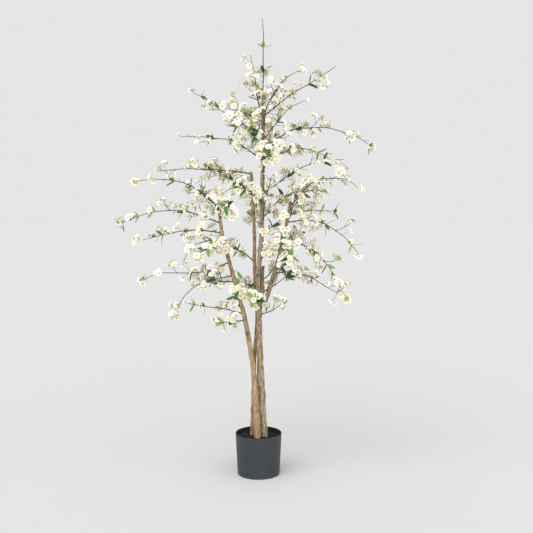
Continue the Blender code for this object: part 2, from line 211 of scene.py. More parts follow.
pot_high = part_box("pot")[1]
pot_height = pot_high.z
rim_radius = pot_high.x
foot_radius = rim_radius - POT_TAPER
rib_radius = foot_radius + POT_RIB_STAND
lip = POT_WALL / 2
pot_profile = [(HUB, 0.0), (foot_radius * 0.6, 0.0)]
pot_profile += arc((foot_radius - POT_FOOT_EDGE, POT_FOOT_EDGE), POT_FOOT_EDGE, -90, 0, 6)
pot_profile += [(rib_radius, POT_RIB_HEIGHT - POT_RIB_EDGES[0]),
                (rib_radius - POT_RIB_DEPTH, POT_RIB_HEIGHT),
                (rib_radius - POT_RIB_DEPTH / 2, POT_RIB_HEIGHT + POT_RIB_EDGES[1])]
pot_profile += [(foot_radius + POT_TAPER * h / pot_height, h)
                for h in np.linspace(POT_SIDE_START, pot_height - lip, 40)]
pot_profile += arc((rim_radius - lip, pot_height - lip), lip, 0, 180, 9)[1:]
pot_profile += [(rim_radius - POT_WALL - POT_TAPER * (1 - h / pot_height), h)
                for h in np.linspace(pot_height - lip, POT_FLOOR, 30)[1:]]
pot_profile += [(HUB, POT_FLOOR)]

plastic, shader, paint = new_material("charcoal_plastic", 0.5)
cloudy = paint.noise(0.035, 3.0)
grain = paint.noise(0.0009, 1.0)
scuffs = paint.noise(0.012, 4.0, (1.0, 1.0, 0.25)).within(0.60, 0.75)
charcoal = cloudy.within(0.35, 0.65).blend((0.024, 0.028, 0.036), (0.031, 0.035, 0.044))
charcoal = (scuffs * 0.35).blend(charcoal, (0.050, 0.054, 0.064))
across, deep, level = (paint.add("SeparateXYZ", {}, {0: paint.place()}, k) for k in range(3))
reach = paint.math("POWER", across * across + deep * deep, 0.5)
wall_middle = level * (POT_TAPER / pot_height) + (foot_radius - lip)
outside_not_painted_shade = (reach - wall_middle).within(-POT_WALL / 4.5, POT_WALL / 4.5)
# Painted shade: the inside wall gets a nearly black colour in place of the charcoal plastic
feed(shader, "Base Color", outside_not_painted_shade.blend((0.009, 0.010, 0.012), charcoal))
feed(shader, "Roughness", 0.46 + cloudy * 0.14)
bump(shader, grain, 0.00025)
pot = new_piece("moulded_pot", *sheet(turned(pot_profile, POT_SIDES), True, True),
                plastic, "pot_plastic")
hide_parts("pot")


# The filling
# Cast cement weighs the pot down. A loose layer of nearly black dried moss and bark crumbs
# hides it, heaped a little against the poles.

FILLING_RINGS = 70
FILLING_SIDES = 180
HEAP_HEIGHT = 0.006
HEAP_SPREAD = 0.045
DRESSING_SINK = 0.003
CRUMB_COUNT = 900
CRUMB_SINK = 0.002
CRUMB_SIZES = (0.0009, 0.0030)


def unit(vectors):
    """The vectors, each brought to length 1."""
    return vectors / np.linalg.norm(vectors, axis=1, keepdims=True)


def ripples(points, length, seed, waves=24):
    """Smooth noise of about unit size at each point.

    It is the sum of plane waves in seeded directions, whose lengths are near the one given.
    """
    stream = np.random.default_rng(seed)
    ways = unit(stream.normal(size=(waves, 3)))
    turns = 2 * np.pi / (length * stream.uniform(0.7, 1.6, waves))
    phases = stream.uniform(0, 2 * np.pi, waves)
    return np.cos(points @ (ways * turns[:, None]).T + phases).sum(-1) * math.sqrt(2 / waves)


def copies(shape, places, frames, sizes):
    """A shape's points and triangles repeated at each place, turned and scaled there.

    Each point is the place plus the size times the sum of the frame's three unit vectors,
    each times the point's own coordinate.
    """
    points, triangles = shape
    spread = np.einsum("vk,nkc->nvc", points, frames) * sizes[:, None, None]
    spread = spread + places[:, None, :]
    steps = len(points) * np.arange(len(places))
    return spread.reshape(-1, 3), (triangles[None] + steps[:, None, None]).reshape(-1, 3)


def frames_along(ways, rolls):
    """A frame of unit vectors for each way, whose third vector is the way, rolled about it."""
    ways = unit(ways)
    guide = np.where(np.abs(ways[:, 2:]) > 0.9, (1.0, 0.0, 0.0), (0.0, 0.0, 1.0))
    side = unit(np.cross(guide, ways))
    other = np.cross(ways, side)
    c, s = np.cos(rolls)[:, None], np.sin(rolls)[:, None]
    return np.stack([side * c + other * s, other * c - side * s, ways], axis=1)


filling_low, filling_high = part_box("filling")
filling_top = filling_high.z
inner_radius = filling_high.x + 0.0003
share = np.linspace(0.003, 1, FILLING_RINGS)
ground = turned(np.stack([share[::-1] * inner_radius, np.full(FILLING_RINGS, filling_top)], 1),
                FILLING_SIDES)
rise = HEAP_HEIGHT * np.exp(-(ground[..., :2] ** 2).sum(-1) / HEAP_SPREAD ** 2)
rise = rise + 0.0016 * ripples(ground, 0.022, 1) + 0.0009 * ripples(ground, 0.007, 2)
ground[..., 2] += rise - DRESSING_SINK
skirt = ground[:1].copy()
skirt[..., 2] = filling_low.z
wall_below = rim_radius - POT_WALL - POT_TAPER * (1 - filling_low.z / pot_height)
skirt[..., :2] *= (wall_below - 0.0005) / inner_radius
ground = np.concatenate([skirt, ground])

soil, shader, paint = new_material("dried_moss", 0.95)
specks = paint.noise(0.004, 3.0)
patches = paint.noise(0.018, 2.0)
brown = patches.within(0.4, 0.62).blend((0.006, 0.005, 0.004), (0.014, 0.011, 0.008))
feed(shader, "Base Color", specks.within(0.60, 0.72).blend(brown, (0.034, 0.027, 0.019)))
bump(shader, specks, 0.003)
dressing = new_piece("dressing", *sheet(ground, True, True), soil, "filling")
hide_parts("filling")

crumb_stream = np.random.default_rng(7)
crumb_round = turned([(0.25, -0.8), (0.9, -0.35), (1.0, 0.3), (0.3, 0.85)], 6)
crumb_reach = inner_radius * 0.96 * np.sqrt(crumb_stream.uniform(0, 1, CRUMB_COUNT))
crumb_turn = crumb_stream.uniform(0, 2 * np.pi, CRUMB_COUNT)
crumb_rise = HEAP_HEIGHT * np.exp(-crumb_reach ** 2 / HEAP_SPREAD ** 2) - CRUMB_SINK
crumb_spots = np.stack([crumb_reach * np.cos(crumb_turn), crumb_reach * np.sin(crumb_turn),
                        filling_top + crumb_rise], 1)
crumb_frames = frames_along(crumb_stream.normal(size=(CRUMB_COUNT, 3)), crumb_turn)
crumb_sizes = crumb_stream.uniform(*CRUMB_SIZES, CRUMB_COUNT)
bark_bits, shader, paint = new_material("bark_bits", 0.9)
mixed = paint.noise(0.006, 1.0)
feed(shader, "Base Color", mixed.within(0.35, 0.68).blend((0.008, 0.006, 0.005),
                                                         (0.032, 0.025, 0.017)))
bump(shader, paint.noise(0.0015, 2.0), 0.0008)
new_piece("crumbs", *copies(sheet(crumb_round, True, True), crumb_spots, crumb_frames,
                            crumb_sizes), bark_bits, "filling")


# The poles
# Real branches with their bark rubbed thin, seasoned and sawn off flat: a mottled grey and
# cream trunk, a tan pole on the left and a browner one behind. The bough leaves the trunk.

POLE_SIDES = 72
POLE_RING = 0.003
POLE_SINK = 0.004
STANDING = ("trunk", "left_pole", "middle_pole")
KNOT_WIDTH = 0.010

Limb = namedtuple("Limb", "foot_radius head_radius stations")

LIMBS = {
    "trunk": Limb(0.0160, 0.0080, [
        (0.027, 0.000, 0.180), (0.014, 0.003, 0.39), (0.005, 0.000, 0.65),
        (0.003, 0.000, 0.82), (0.000, 0.000, 0.96), (0.013, -0.002, 1.12),
        (0.018, 0.000, 1.34), (0.024, 0.003, 1.60), (0.021, 0.006, 1.735),
    ]),
    "left_pole": Limb(0.0136, 0.0074, [
        (-0.004, -0.022, 0.180), (-0.022, -0.024, 0.49), (-0.045, -0.024, 0.654),
        (-0.068, -0.024, 0.775), (-0.111, -0.028, 0.935), (-0.145, -0.034, 1.065),
        (-0.165, -0.038, 1.14), (-0.183, -0.045, 1.30),
    ]),
    "middle_pole": Limb(0.0103, 0.0070, [
        (-0.031, 0.030, 0.180), (-0.019, 0.034, 0.56), (-0.007, 0.037, 0.744),
        (-0.018, 0.037, 0.954), (-0.019, 0.040, 1.144), (-0.034, 0.048, 1.438),
    ]),
    "right_bough": Limb(0.0106, 0.0074, [
        (0.006, 0.000, 0.805), (0.036, 0.000, 0.846), (0.056, 0.003, 0.907),
        (0.081, 0.008, 0.988), (0.117, 0.014, 1.124), (0.142, 0.024, 1.255),
        (0.151, 0.028, 1.301),
    ]),
    "short_stub": Limb(0.0080, 0.0070, [
        (0.0200, -0.0095, 0.890), (0.0190, -0.0080, 0.950), (0.0215, -0.0085, 1.003),
    ]),
}

# Each knot is a height in metres, an angle round the pole in degrees and a size from 0 to 1
KNOTS = {
    "trunk": [(0.960, 262, 1.0), (0.859, 280, 0.8), (0.52, 300, 0.7), (0.36, 240, 0.9),
              (0.70, 200, 0.6), (1.20, 250, 0.7), (1.503, 270, 1.0), (0.62, 60, 0.8)],
    "left_pole": [(0.688, 275, 1.0), (0.313, 285, 0.9), (0.45, 220, 0.6), (1.05, 270, 0.8),
                  (0.86, 100, 0.7)],
    "middle_pole": [(0.50, 250, 0.8), (0.90, 280, 0.9), (1.25, 230, 0.7)],
    "right_bough": [(0.93, 280, 0.8), (1.16, 250, 0.8)],
    "short_stub": [(0.95, 270, 0.6)],
}

# Light, dark and patch colours of each pole's bark, how much patch there is, its wood slot
# and the swellings of its radius: the height, spread and growth of each in metres
Bark = namedtuple("Bark", "light dark patch patch_share slot swellings")

BARKS = {
    "trunk": Bark((0.47, 0.360, 0.215), (0.130, 0.086, 0.048), (0.30, 0.295, 0.205), 0.60,
                  "grey_wood",
                  [(0.43, 0.11, 0.0024), (0.21, 0.05, 0.0010), (1.505, 0.03, 0.0022)]),
    "left_pole": Bark((0.50, 0.345, 0.180), (0.175, 0.105, 0.050), (0.41, 0.32, 0.19), 0.35,
                      "tan_wood", [(0.66, 0.05, 0.0010), (0.24, 0.12, 0.0022)]),
    "middle_pole": Bark((0.43, 0.305, 0.175), (0.120, 0.074, 0.041), (0.34, 0.27, 0.18), 0.45,
                        "brown_wood", []),
    "right_bough": Bark((0.36, 0.235, 0.135), (0.110, 0.066, 0.038), (0.30, 0.24, 0.16), 0.45,
                        "tan_wood", [(0.820, 0.018, 0.0030)]),
    "short_stub": Bark((0.22, 0.140, 0.085), (0.070, 0.042, 0.026), (0.24, 0.18, 0.11), 0.40,
                       "brown_wood", []),
}


# The middle pole's foot is lighter than its head, and fades between two heights in metres
FOOT_DARK = (0.17, 0.095, 0.052)
FOOT_LIGHT = (0.46, 0.30, 0.18)
FOOT_FADE = (0.30, 0.62)

# The rubbed flecks and the knots are the same on every pole
FLECK_COLOUR = (0.66, 0.55, 0.38)
KNOT_COLOUR = (0.045, 0.028, 0.018)


def with_ends(points):
    """The points, with one more past each end, on the line through its two last ones."""
    return np.concatenate([2 * points[:1] - points[1:2], points,
                           2 * points[-1:] - points[-2:-1]])


def cubic(start, end, leaving, arriving, t):
    """Places on a curve between two points, which is a cubic in t from 0 to 1.

    The two rates are how fast it leaves the one and arrives at the other.
    """
    return (start * (2 * t**3 - 3 * t**2 + 1) + end * (3 * t**2 - 2 * t**3)
            + leaving * (t**3 - 2 * t**2 + t) + arriving * (t**3 - t**2))


def limb_places(limb, heights):
    """Centres and radii of a limb at some heights, on the smooth curve through its stations.

    Between two stations the curve is a cubic in the height, whose slope at each one is that
    of the line between its two neighbours.
    """
    heights = np.atleast_1d(heights)
    stations = np.array(limb.stations)
    i = np.clip(np.searchsorted(stations[:, 2], heights, "right") - 1, 0, len(stations) - 2)
    before, start, end, after = (with_ends(stations)[i + k] for k in range(4))
    rise = end[:, 2:] - start[:, 2:]
    t = (heights[:, None] - start[:, 2:]) / rise
    leaving = (end - before) / (end[:, 2:] - before[:, 2:]) * rise
    arriving = (after - start) / (after[:, 2:] - start[:, 2:]) * rise
    centres = cubic(start, end, leaving, arriving, t)
    share = (heights - stations[0, 2]) / (stations[-1, 2] - stations[0, 2])
    return centres, limb.foot_radius + (limb.head_radius - limb.foot_radius) * share


def rings(centres, radii, sides):
    """Rings of points square to a path, each about its own centre.

    The radii are one for each ring, or one for each point of each ring.
    """
    along = unit(np.gradient(centres, axis=0))
    chord = centres[-1] - centres[0]
    level = np.cross((0.0, 0.0, 1.0), chord)
    if np.linalg.norm(level) < 0.3 * np.linalg.norm(chord):
        level = np.array([1.0, 0.0, 0.0])
    side = unit(level - along * (along @ level)[:, None])
    other = np.cross(along, side)
    angle = np.linspace(0, 2 * np.pi, sides, endpoint=False)
    spokes = (side[:, None, :] * np.cos(angle)[None, :, None]
              + other[:, None, :] * np.sin(angle)[None, :, None])
    radii = np.asarray(radii)
    radii = radii if radii.ndim == 2 else radii[:, None]
    return centres[:, None, :] + spokes * radii[..., None]


def pole_surface(name):
    """A pole's rings and the darkness of its knots.

    The radius at each point is the limb's, plus its swellings, plus knots that bulge round a
    hollow eye, plus long ridges and lumps of noise stretched along the pole.
    """
    limb, bark = LIMBS[name], BARKS[name]
    foot, top = limb.stations[0][2], limb.stations[-1][2]
    count = round((top - foot) / POLE_RING)
    heights = np.linspace(foot, top, count)
    centres, radii = limb_places(limb, heights)
    if name in STANDING:
        centres[0, 2] -= POLE_SINK
    for height, spread, growth in bark.swellings:
        radii = radii + growth * np.exp(-((heights - height) / spread) ** 2)
    plain = rings(centres, radii, POLE_SIDES)
    seed = len(name)
    stretched = plain * (1.0, 1.0, 0.16)
    relief = (0.030 * ripples(stretched, 0.0065, seed) + 0.045 * ripples(plain, 0.045, seed + 1)
              + 0.016 * ripples(plain * (1.0, 1.0, 0.5), 0.0040, seed + 2))
    angle = np.linspace(0, 2 * np.pi, POLE_SIDES, endpoint=False)
    dark = np.zeros(plain.shape[:2])
    for height, turn, size in KNOTS[name]:
        about = (angle - math.radians(turn) + np.pi) % (2 * np.pi) - np.pi
        reach = np.hypot((heights[:, None] - height) / (KNOT_WIDTH * 1.3),
                         about[None, :] * radii[:, None] / KNOT_WIDTH)
        relief = relief + size * (0.22 * np.exp(-reach ** 2) - 0.20 * np.exp(-(reach * 2.6) ** 2))
        dark = np.maximum(dark, size * np.exp(-(reach * 1.5) ** 2))
    return rings(centres, radii[:, None] * (1 + relief), POLE_SIDES), dark


def bark_material(name, bark):
    """Streaks along the grain, lichen patches, and knots that an attribute darkens."""
    material, shader, paint = new_material(name + "_bark", 0.8)
    streaks = paint.noise(0.0045, 4.0, (1.0, 1.0, 9.0))
    mottling = paint.noise(0.011, 3.0, (1.0, 1.0, 2.2))
    patches = paint.noise(0.030, 3.0, (1.0, 1.0, 1.8))
    flecks = paint.noise(0.0024, 2.0, (1.0, 1.0, 2.0))
    knots = paint.add("Attribute", {"attribute_name": "knot"}, {}, 2)
    grain = streaks.within(0.36, 0.60)
    colour = grain.blend(bark.dark, bark.light)
    colour = (patches.within(0.47, 0.60) * bark.patch_share).blend(colour, bark.patch)
    colour = (mottling.within(0.54, 0.64) * 0.8).blend(colour, bark.dark)
    colour = (flecks.within(0.58, 0.68) * 0.6).blend(colour, FLECK_COLOUR)
    if name == "middle_pole":
        level = paint.add("SeparateXYZ", {}, {0: paint.place()}, 2)
        colour = level.within(*FOOT_FADE).blend(grain.blend(FOOT_DARK, FOOT_LIGHT), colour)
    feed(shader, "Base Color", (knots * 0.85).blend(colour, KNOT_COLOUR))
    feed(shader, "Roughness", 0.72 + mottling * 0.2)
    bump(shader, streaks * 0.6 + flecks * 0.4, 0.0012)
    return material


for limb_name, limb in LIMBS.items():
    surface, dark = pole_surface(limb_name)
    bark = BARKS[limb_name]
    pole = new_piece(limb_name + "_wood", *sheet(surface, True, True),
                     bark_material(limb_name, bark), bark.slot)
    knot_shade = pole.data.attributes.new("knot", "FLOAT", "POINT")
    knot_shade.data.foreach_set("value", np.append(dark.ravel(), (0.0, 0.35)))
    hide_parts(limb_name)


# The stems and twigs
# Each sprig is a wire stem, wrapped in dark grey-brown paper bark with a knuckle at each
# joint, pushed into a hole in its pole. Its side twigs are thinner wires wrapped in with it.

GAP = 0.0003
NODE_SPACING = 0.078
STEM_ROOT_RADIUS = 0.0040
STEM_TIP_RADIUS = 0.0017
KINK_HEADING = 9.0
KINK_SLOPE = 6.0
SIDE_STEP = 0.010
POLE_RING_SPACING = 0.090
TWIG_LENGTH = 0.075
TWIG_RADIUS = 0.0020
TWIG_ANGLE = 48.0
TWIG_LIFT = 0.30
LEAF_LENGTH = 0.052
LEAF_WIDTH = 0.017
LEAF_ANGLE = 59.0
BLOSSOM_RADIUS = 0.0235
BLOSSOM_DEPTH = 0.0230
BLOSSOM_DISH = -0.35
BLOSSOM_ANGLE = 60.0
BLOSSOM_LIFT = 0.25
ANGLE_SPREAD = 11.0
CLEARANCE = 0.0012

# What the wire and its bark really measure, and how deep a stem is pushed into its pole
WIRE_ROOT_RADIUS = 0.0034
WIRE_TIP_RADIUS = 0.0011
WIRE_DEPTH = 0.006
KNUCKLE = 0.35
STEM_SIDES = 8
TWIG_SIDES = 6

# A sprig leaves its limb at a height and to a compass heading, where 0 is right and 90 is
# back. Its slope runs through three values, at the root, half way and at the tip. Whorls of
# three leaves stand at shares of its length, and the last number is its tip's blossoms.
Sprig = namedtuple("Sprig", "limb height heading slopes length whorls tip")

SPRIGS = [Sprig(*row) for row in (
    ("trunk", 1.735, 180, (96, 90, 84), 0.375, (0.42, 0.71), 0),
    ("trunk", 1.712, 165, (80, 85, 76), 0.265, (), 0),
    ("trunk", 1.623, 168, (15, 32, 22), 0.375, (0.39, 0.62), 1),
    ("trunk", 1.672, 197, (28, 18, 10), 0.190, (), 2),
    ("trunk", 1.499, 185, (50, 12, 2), 0.395, (0.61,), 1),
    ("trunk", 1.568, 215, (58, 35, 5), 0.180, (0.85,), 3),
    ("middle_pole", 1.431, 172, (8, 2, -6), 0.430, (0.30, 0.42), 0),
    ("left_pole", 1.290, 188, (58, 14, -6), 0.405, (0.35, 0.55), 6),
    ("left_pole", 1.211, 176, (24, 0, -28), 0.475, (0.35, 0.80, 0.97), 2),
    ("left_pole", 1.164, 195, (14, -4, -16), 0.380, (0.70,), 6),
    ("left_pole", 1.130, 158, (0, -25, -80), 0.250, (), 2),
    ("left_pole", 1.023, 183, (-34, 0, -30), 0.405, (0.42,), 5),
    ("left_pole", 0.935, 168, (0, 4, 6), 0.210, (0.42,), 1),
    ("left_pole", 0.962, 204, (0, -29, -86), 0.350, (), 5),
    ("left_pole", 0.785, 176, (12, 8, 4), 0.260, (0.85,), 1),
    ("left_pole", 0.750, 212, (8, 0, -5), 0.130, (0.80,), 1),
    ("trunk", 1.700, 12, (47, 33, 36), 0.400, (0.62,), 0),
    ("trunk", 1.722, -22, (66, 50, 14), 0.260, (), 2),
    ("trunk", 1.600, -28, (50, 45, 17), 0.260, (), 1),
    ("trunk", 1.556, 5, (46, -4, -36), 0.535, (0.77, 0.97), 4),
    ("trunk", 1.484, -10, (42, 6, -38), 0.320, (0.35, 0.80), 4),
    ("trunk", 1.347, 16, (34, 22, -6), 0.420, (0.75,), 0),
    ("right_bough", 1.235, -32, (76, 70, 28), 0.215, (), 1),
    ("right_bough", 1.294, 4, (66, 12, -44), 0.375, (0.45,), 3),
    ("right_bough", 1.246, 14, (28, 0, 6), 0.225, (0.93,), 0),
    ("right_bough", 1.208, -12, (16, -24, -54), 0.385, (0.45, 0.85), 2),
    ("right_bough", 1.115, 8, (8, -48, -64), 0.430, (0.55,), 5),
    ("right_bough", 0.972, -8, (18, -24, -26), 0.325, (0.50,), 2),
    ("trunk", 0.874, 30, (14, 25, -30), 0.230, (0.65,), 1),
    ("trunk", 0.774, -30, (15, 30, 36), 0.140, (0.80,), 1),
    ("trunk", 0.835, 262, (15, 10, 0), 0.200, (0.80,), 1),
    ("trunk", 1.040, 308, (36, 20, -8), 0.290, (0.60,), 2),
    ("trunk", 1.150, 318, (40, 32, 10), 0.240, (), 3),
    ("trunk", 1.225, 294, (74, 62, 40), 0.230, (0.50,), 2),
    ("trunk", 1.300, 244, (35, 12, -16), 0.370, (0.45,), 3),
    ("trunk", 1.440, 276, (42, 12, -22), 0.430, (0.60,), 4),
    ("trunk", 1.540, 248, (46, 22, -5), 0.310, (0.50,), 3),
    ("trunk", 1.660, 288, (60, 38, 10), 0.260, (), 2),
    ("left_pole", 0.870, 268, (22, 2, -18), 0.270, (0.70,), 2),
    ("left_pole", 1.075, 250, (26, 4, -20), 0.320, (0.60,), 3),
    ("left_pole", 1.235, 282, (34, 5, -24), 0.370, (0.50,), 3),
    ("right_bough", 1.060, 282, (26, -4, -32), 0.350, (0.70,), 3),
    ("trunk", 0.925, 62, (20, 14, -4), 0.300, (0.70,), 1),
    ("trunk", 1.230, 58, (34, 16, -12), 0.400, (0.50, 0.90), 2),
    ("trunk", 1.500, 82, (42, 14, -16), 0.430, (0.60,), 4),
    ("trunk", 1.610, 118, (44, 22, -4), 0.310, (0.60,), 2),
    ("middle_pole", 0.860, 108, (20, 8, -10), 0.300, (0.80,), 2),
    ("middle_pole", 1.020, 132, (26, 6, -16), 0.370, (0.55,), 3),
    ("middle_pole", 1.170, 92, (30, 8, -18), 0.420, (0.45, 0.85), 3),
    ("middle_pole", 1.330, 122, (36, 10, -18), 0.430, (0.60,), 4),
    ("left_pole", 1.262, 118, (38, 10, -14), 0.350, (0.50,), 3),
    ("right_bough", 1.090, 74, (26, 2, -22), 0.350, (0.65,), 2),
    ("right_bough", 1.262, 62, (44, 10, -20), 0.370, (0.40, 0.85), 3),
)]


def limb_point(limb, height):
    """Centre and radius of a limb at one height."""
    centres, radii = limb_places(limb, height)
    return Vector(centres[0]), float(radii[0])


def direction(heading, slope):
    """Unit vector to a compass heading and a slope, both in degrees."""
    h = math.radians(heading)
    s = math.radians(slope)
    return Vector((math.cos(h) * math.cos(s), math.sin(h) * math.cos(s), math.sin(s)))


def slope_at(slopes, share):
    """Slope at a share of a stem's length, on the parabola through its three values."""
    root, middle, tip = slopes
    return (root * (1 - share) * (1 - 2 * share) + middle * 4 * share * (1 - share)
            + tip * share * (2 * share - 1))


def stem_root(sprig):
    """Where a sprig's stem starts, just clear of its limb's top or side."""
    limb = LIMBS[sprig.limb]
    centre, limb_radius = limb_point(limb, sprig.height)
    if sprig.height == limb.stations[-1][2]:
        return centre + Vector((0, 0, 2 * GAP))
    above = limb_point(limb, sprig.height + SIDE_STEP)[0]
    along = (above - centre).normalized()
    outward = direction(sprig.heading, 0)
    outward = (outward - along * outward.dot(along)).normalized()
    first = direction(sprig.heading, sprig.slopes[0])
    aslant = math.sqrt(max(0.0, 1 - first.dot(outward) ** 2))
    return centre + outward * (limb_radius + GAP + STEM_ROOT_RADIUS * aslant)


def stem_path(sprig, chance):
    """Joints of a sprig's stem, kinked to one side and the other at each."""
    count = max(2, round(sprig.length / NODE_SPACING))
    step = sprig.length / count
    points = [stem_root(sprig)]
    for i in range(count):
        side = 1 if i % 2 else -1
        heading = sprig.heading + side * KINK_HEADING * chance.uniform(0.4, 1.0)
        slope = slope_at(sprig.slopes, (i + 0.5) / count)
        slope += side * KINK_SLOPE * chance.uniform(-0.3, 1.0)
        points.append(points[-1] + direction(heading, slope) * step)
    drop = STEM_ROOT_RADIUS - STEM_TIP_RADIUS
    return points, [STEM_ROOT_RADIUS - drop * i / count for i in range(count + 1)]


class Space:
    """What the coarse pieces take up, kept as round-ended sticks, so that they stay apart."""

    def __init__(self):
        self.sticks = []
        self.owners = []

    def take(self, owner, start, end, radius):
        """Take up a stick's room for its owner."""
        self.sticks.append((*start, *end, radius))
        self.owners.append(owner)

    def is_free(self, owner, start, end, radius):
        """True where a stick stays clear of all that belongs to others.

        The gap to each kept stick is that between the nearest points of the two lines, with
        each point held within its line's ends.
        """
        sticks = np.array(self.sticks)
        kept = sticks[:, :3]
        u = sticks[:, 3:6] - kept
        v = np.array(end) - np.array(start)
        w = kept - np.array(start)
        tiny = 1e-12
        uu = (u * u).sum(1) + tiny
        vv = v @ v + tiny
        uv = u @ v
        uw = (u * w).sum(1)
        vw = w @ v
        along_kept = np.clip((uv * vw - vv * uw) / np.maximum(uu * vv - uv * uv, tiny), 0, 1)
        along_new = np.clip((uv * along_kept + vw) / vv, 0, 1)
        along_kept = np.clip((uv * along_new - uw) / uu, 0, 1)
        gaps = np.linalg.norm(w + u * along_kept[:, None] - np.outer(along_new, v), axis=1)
        others = np.array([kept_owner != owner for kept_owner in self.owners])
        return not np.any(others & (gaps < sticks[:, 6] + radius + CLEARANCE))

    def claim(self, owner, start, end, radius):
        """Take up a stick's room if it is free, and tell whether it was."""
        free = self.is_free(owner, start, end, radius)
        if free:
            self.take(owner, start, end, radius)
        return free


def around(axis, turn, lean):
    """Unit vector that leans off an axis, turned about it, with both angles in degrees."""
    side = axis.orthogonal().normalized()
    other = axis.cross(side)
    t = math.radians(turn)
    b = math.radians(lean)
    spoke = side * math.cos(t) + other * math.sin(t)
    return (axis * math.cos(b) + spoke * math.sin(b)).normalized()


def drawn_way(axis, angle, chance):
    """A way that leans off an axis by about an angle in degrees, on any side of it.

    What stands there is a leaf, blossom or twig. The solids' leaves and blossoms also draw
    a roll, after this: here that draw only keeps the later ones in step.
    """
    lean = angle + chance.uniform(-ANGLE_SPREAD, ANGLE_SPREAD)
    return around(axis, chance.uniform(0, 360), lean)


def leaf_way(owner, node, axis, space, chance):
    """The way that a leaf points, or nothing where it would touch another sprig."""
    facing = drawn_way(axis, LEAF_ANGLE, chance)
    chance.uniform(0, 2 * math.pi)
    neck = node + facing * LEAF_WIDTH
    tip = node + facing * LEAF_LENGTH
    return facing if space.claim(owner, neck, tip, LEAF_WIDTH / 2) else None


def blossom_way(owner, node, axis, space, chance):
    """The way that a bunch of blossom faces, or nothing where it would touch another sprig."""
    facing = (drawn_way(axis, BLOSSOM_ANGLE, chance) + Vector((0, 0, BLOSSOM_LIFT))).normalized()
    chance.uniform(0, 2 * math.pi)
    heart = node + facing * BLOSSOM_DEPTH * (1 + BLOSSOM_DISH)
    return facing if space.claim(owner, heart, heart, BLOSSOM_RADIUS) else None


def flow(joints, spots):
    """Points of a smooth path through joints, at the same shares of each span.

    Between two joints it is a cubic, whose slope at each is half the line between the
    joint's two neighbours.
    """
    joints = np.array(joints)
    spans = len(joints) - 1
    before, start, end, after = (with_ends(joints)[k:spans + k, None] for k in range(4))
    t = np.array(spots)[None, :, None]
    path = cubic(start, end, (end - before) / 2, (after - start) / 2, t)
    return np.concatenate([path.reshape(-1, 3), joints[-1:]])


def wire(joints, root_radius, tip_radius, knuckle, spots, sides):
    """A tapering tube through joints, thicker where each joint's knuckle is."""
    path = flow(joints, spots)
    spans = len(joints) - 1
    place = np.append((np.arange(spans)[:, None] + np.array(spots)[None, :]).ravel(), spans)
    radii = root_radius + (tip_radius - root_radius) * place / spans
    nearest = np.abs(place - np.round(place))
    radii = radii * (1 + knuckle * np.exp(-(nearest / 0.06) ** 2))
    radii[-1] *= 0.45
    return sheet(rings(path, radii, sides), True, True)


class Heap:
    """Shapes of one kind, gathered to be joined into one mesh."""

    def __init__(self):
        self.points = []
        self.triangles = []
        self.count = 0

    def add(self, points, triangles):
        """Add a shape."""
        self.points.append(points)
        self.triangles.append(triangles + self.count)
        self.count += len(points)

    def joined(self):
        """The points and triangles of all its shapes."""
        return np.concatenate(self.points), np.concatenate(self.triangles)

    def piece(self, name, material):
        """Make one mesh of it."""
        return new_piece(name, *self.joined(), material, "sprig")


Bunch = namedtuple("Bunch", "place facing count")
Leaf = namedtuple("Leaf", "place way face length")

STEM_SPOTS = (0.0, 0.05, 0.12, 0.30, 0.50, 0.70, 0.88, 0.95)
TWIG_SPOTS = (0.0, 0.15, 0.45, 0.75, 0.92)
SIDE_TWIG_RADII = (0.0016, 0.0008)
FINE_TWIG_RADII = (0.0011, 0.0007)
FINE_TWIG_LENGTH = 0.032
FINE_TWIG_LEANS = (32, 66)
WHORL_LEANS = (38, 72)
SMALL_LEAF_LEANS = (35, 60)
WHORL_LEAF = (0.045, 0.055)
STEM_LEAF = (0.038, 0.050)
SMALL_LEAF = (0.020, 0.032)

# Fine twigs stand close on the inner part of a stem and are few on the rest. Each part has
# the chance of a fine twig, its spots on a span, and the counts that a fine twig's and the
# stem's own bunches of blossom are drawn from.
Part = namedtuple("Part", "fine_chance fine_spots fine_bunch stem_bunch")

INNER = Part(0.95, (0.15, 0.38, 0.62, 0.85), (2, 2, 3, 3), (3, 4, 4))
OUTER = Part(0.38, (0.35, 0.7), (1, 2, 2), (1, 2, 3))
INNER_SHARE = 0.55
TWIG_BUNCH = (2, 3, 3, 4)
BLOSSOM_SHARE = 0.72
SMALL_LEAF_SHARE = 0.16
STEM_LEAF_SHARE = 0.45
EXTRA_WHORL_SHARE = 0.40

# The leader ends in a bare tip, and has no blossom past this share of its length
LEADER_TIP = 0.024
LEADER_BARE = 0.50

stems = Heap()
twigs = Heap()
bunches = []
leaves = []
buds = []


def add_whorl(place, axis, finer):
    """Three leaves round a stem, their upper sides towards its tip."""
    turn = finer.uniform(0, 360)
    for k in range(3):
        side = turn + 120 * k + finer.uniform(-22, 22)
        way = around(axis, side, finer.uniform(*WHORL_LEANS))
        leaves.append(Leaf(place, way, axis, finer.uniform(*WHORL_LEAF)))


